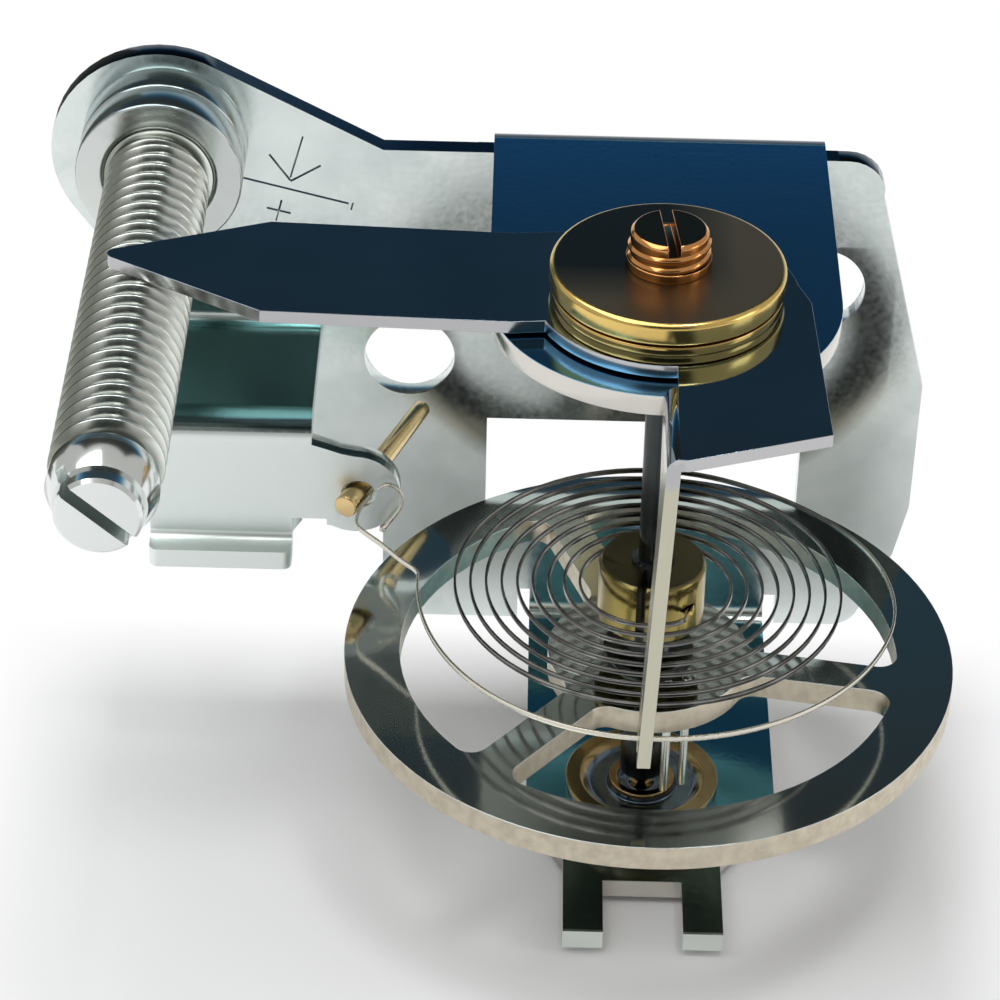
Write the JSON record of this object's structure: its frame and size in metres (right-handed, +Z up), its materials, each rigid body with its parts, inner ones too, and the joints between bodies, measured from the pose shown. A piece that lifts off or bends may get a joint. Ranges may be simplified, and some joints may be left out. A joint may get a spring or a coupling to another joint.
{
  "type": "balance escapement",
  "caption": "Clock balance on a bent steel bridge: spoked wheel, flat hairspring, polished regulator arm and a threaded rod that moves it for fine adjustment.",
  "frame": {"origin": "on the rear face of the back plate, straight behind the balance axis and level with the left mounting hole", "axes": "+Z up along the balance axis, -Y from the plate towards the balance and the free end of the adjusting screw, +X to the right seen from the front"},
  "size_m": [0.0348, 0.0257, 0.0272],
  "materials": {
    "zinc_sheet": "bright zinc plated",
    "plated_screw": "bright plated thread",
    "polished_sheet": "mirror polished",
    "wheel_metal": "fine satin, warm nickel tone",
    "dark_steel": "oiled dark steel",
    "spring_steel": "bright ribbon",
    "brass": "turned bright",
    "copper": "turned bright, copper toned"
  },
  "bodies": {
    "bridge": {"frame": "zinc_sheet", "screw_bush": "zinc_sheet", "regulator_washer": "brass", "pressure_ring": "brass", "upper_bush": "brass", "bearing_screw": "copper", "lower_bush": "brass", "stud_pin": "brass", "hairspring": "spring_steel"},
    "balance": {"balance_staff": "dark_steel", "balance_wheel": "wheel_metal", "roller_sleeve": "dark_steel", "impulse_pins": "polished_sheet", "collet": "brass", "collet_pin": "brass"},
    "rod": {"adjusting_screw": "plated_screw", "screw_collar": "zinc_sheet", "retaining_ring": "zinc_sheet"},
    "index": {"regulator": "polished_sheet"}
  },
  "joints": [
    {"name": "balance_swing", "type": "hinge", "parent": "bridge", "child": "balance", "pos_m": [0, -0.0131, -0.00545], "axis": [0, 0, 1], "range_deg": [-180, 180], "stiffness_Nm_per_rad": 0.00004, "deforming": ["hairspring"]},
    {"name": "screw_spin", "type": "hinge", "parent": "bridge", "child": "rod", "pos_m": [-0.0189, -0.0131, 0.0096], "axis": [0, -1, 0], "range_deg": [-1350, 1350]},
    {"name": "regulator_turn", "type": "hinge", "parent": "bridge", "child": "index", "pos_m": [0, -0.0131, 0.01071], "axis": [0, 0, 1], "range_deg": [-8, 8]}
  ],
  "couplings": [
    {"joint": "regulator_turn", "follows": "screw_spin", "ratio": -0.005895}
  ]
}
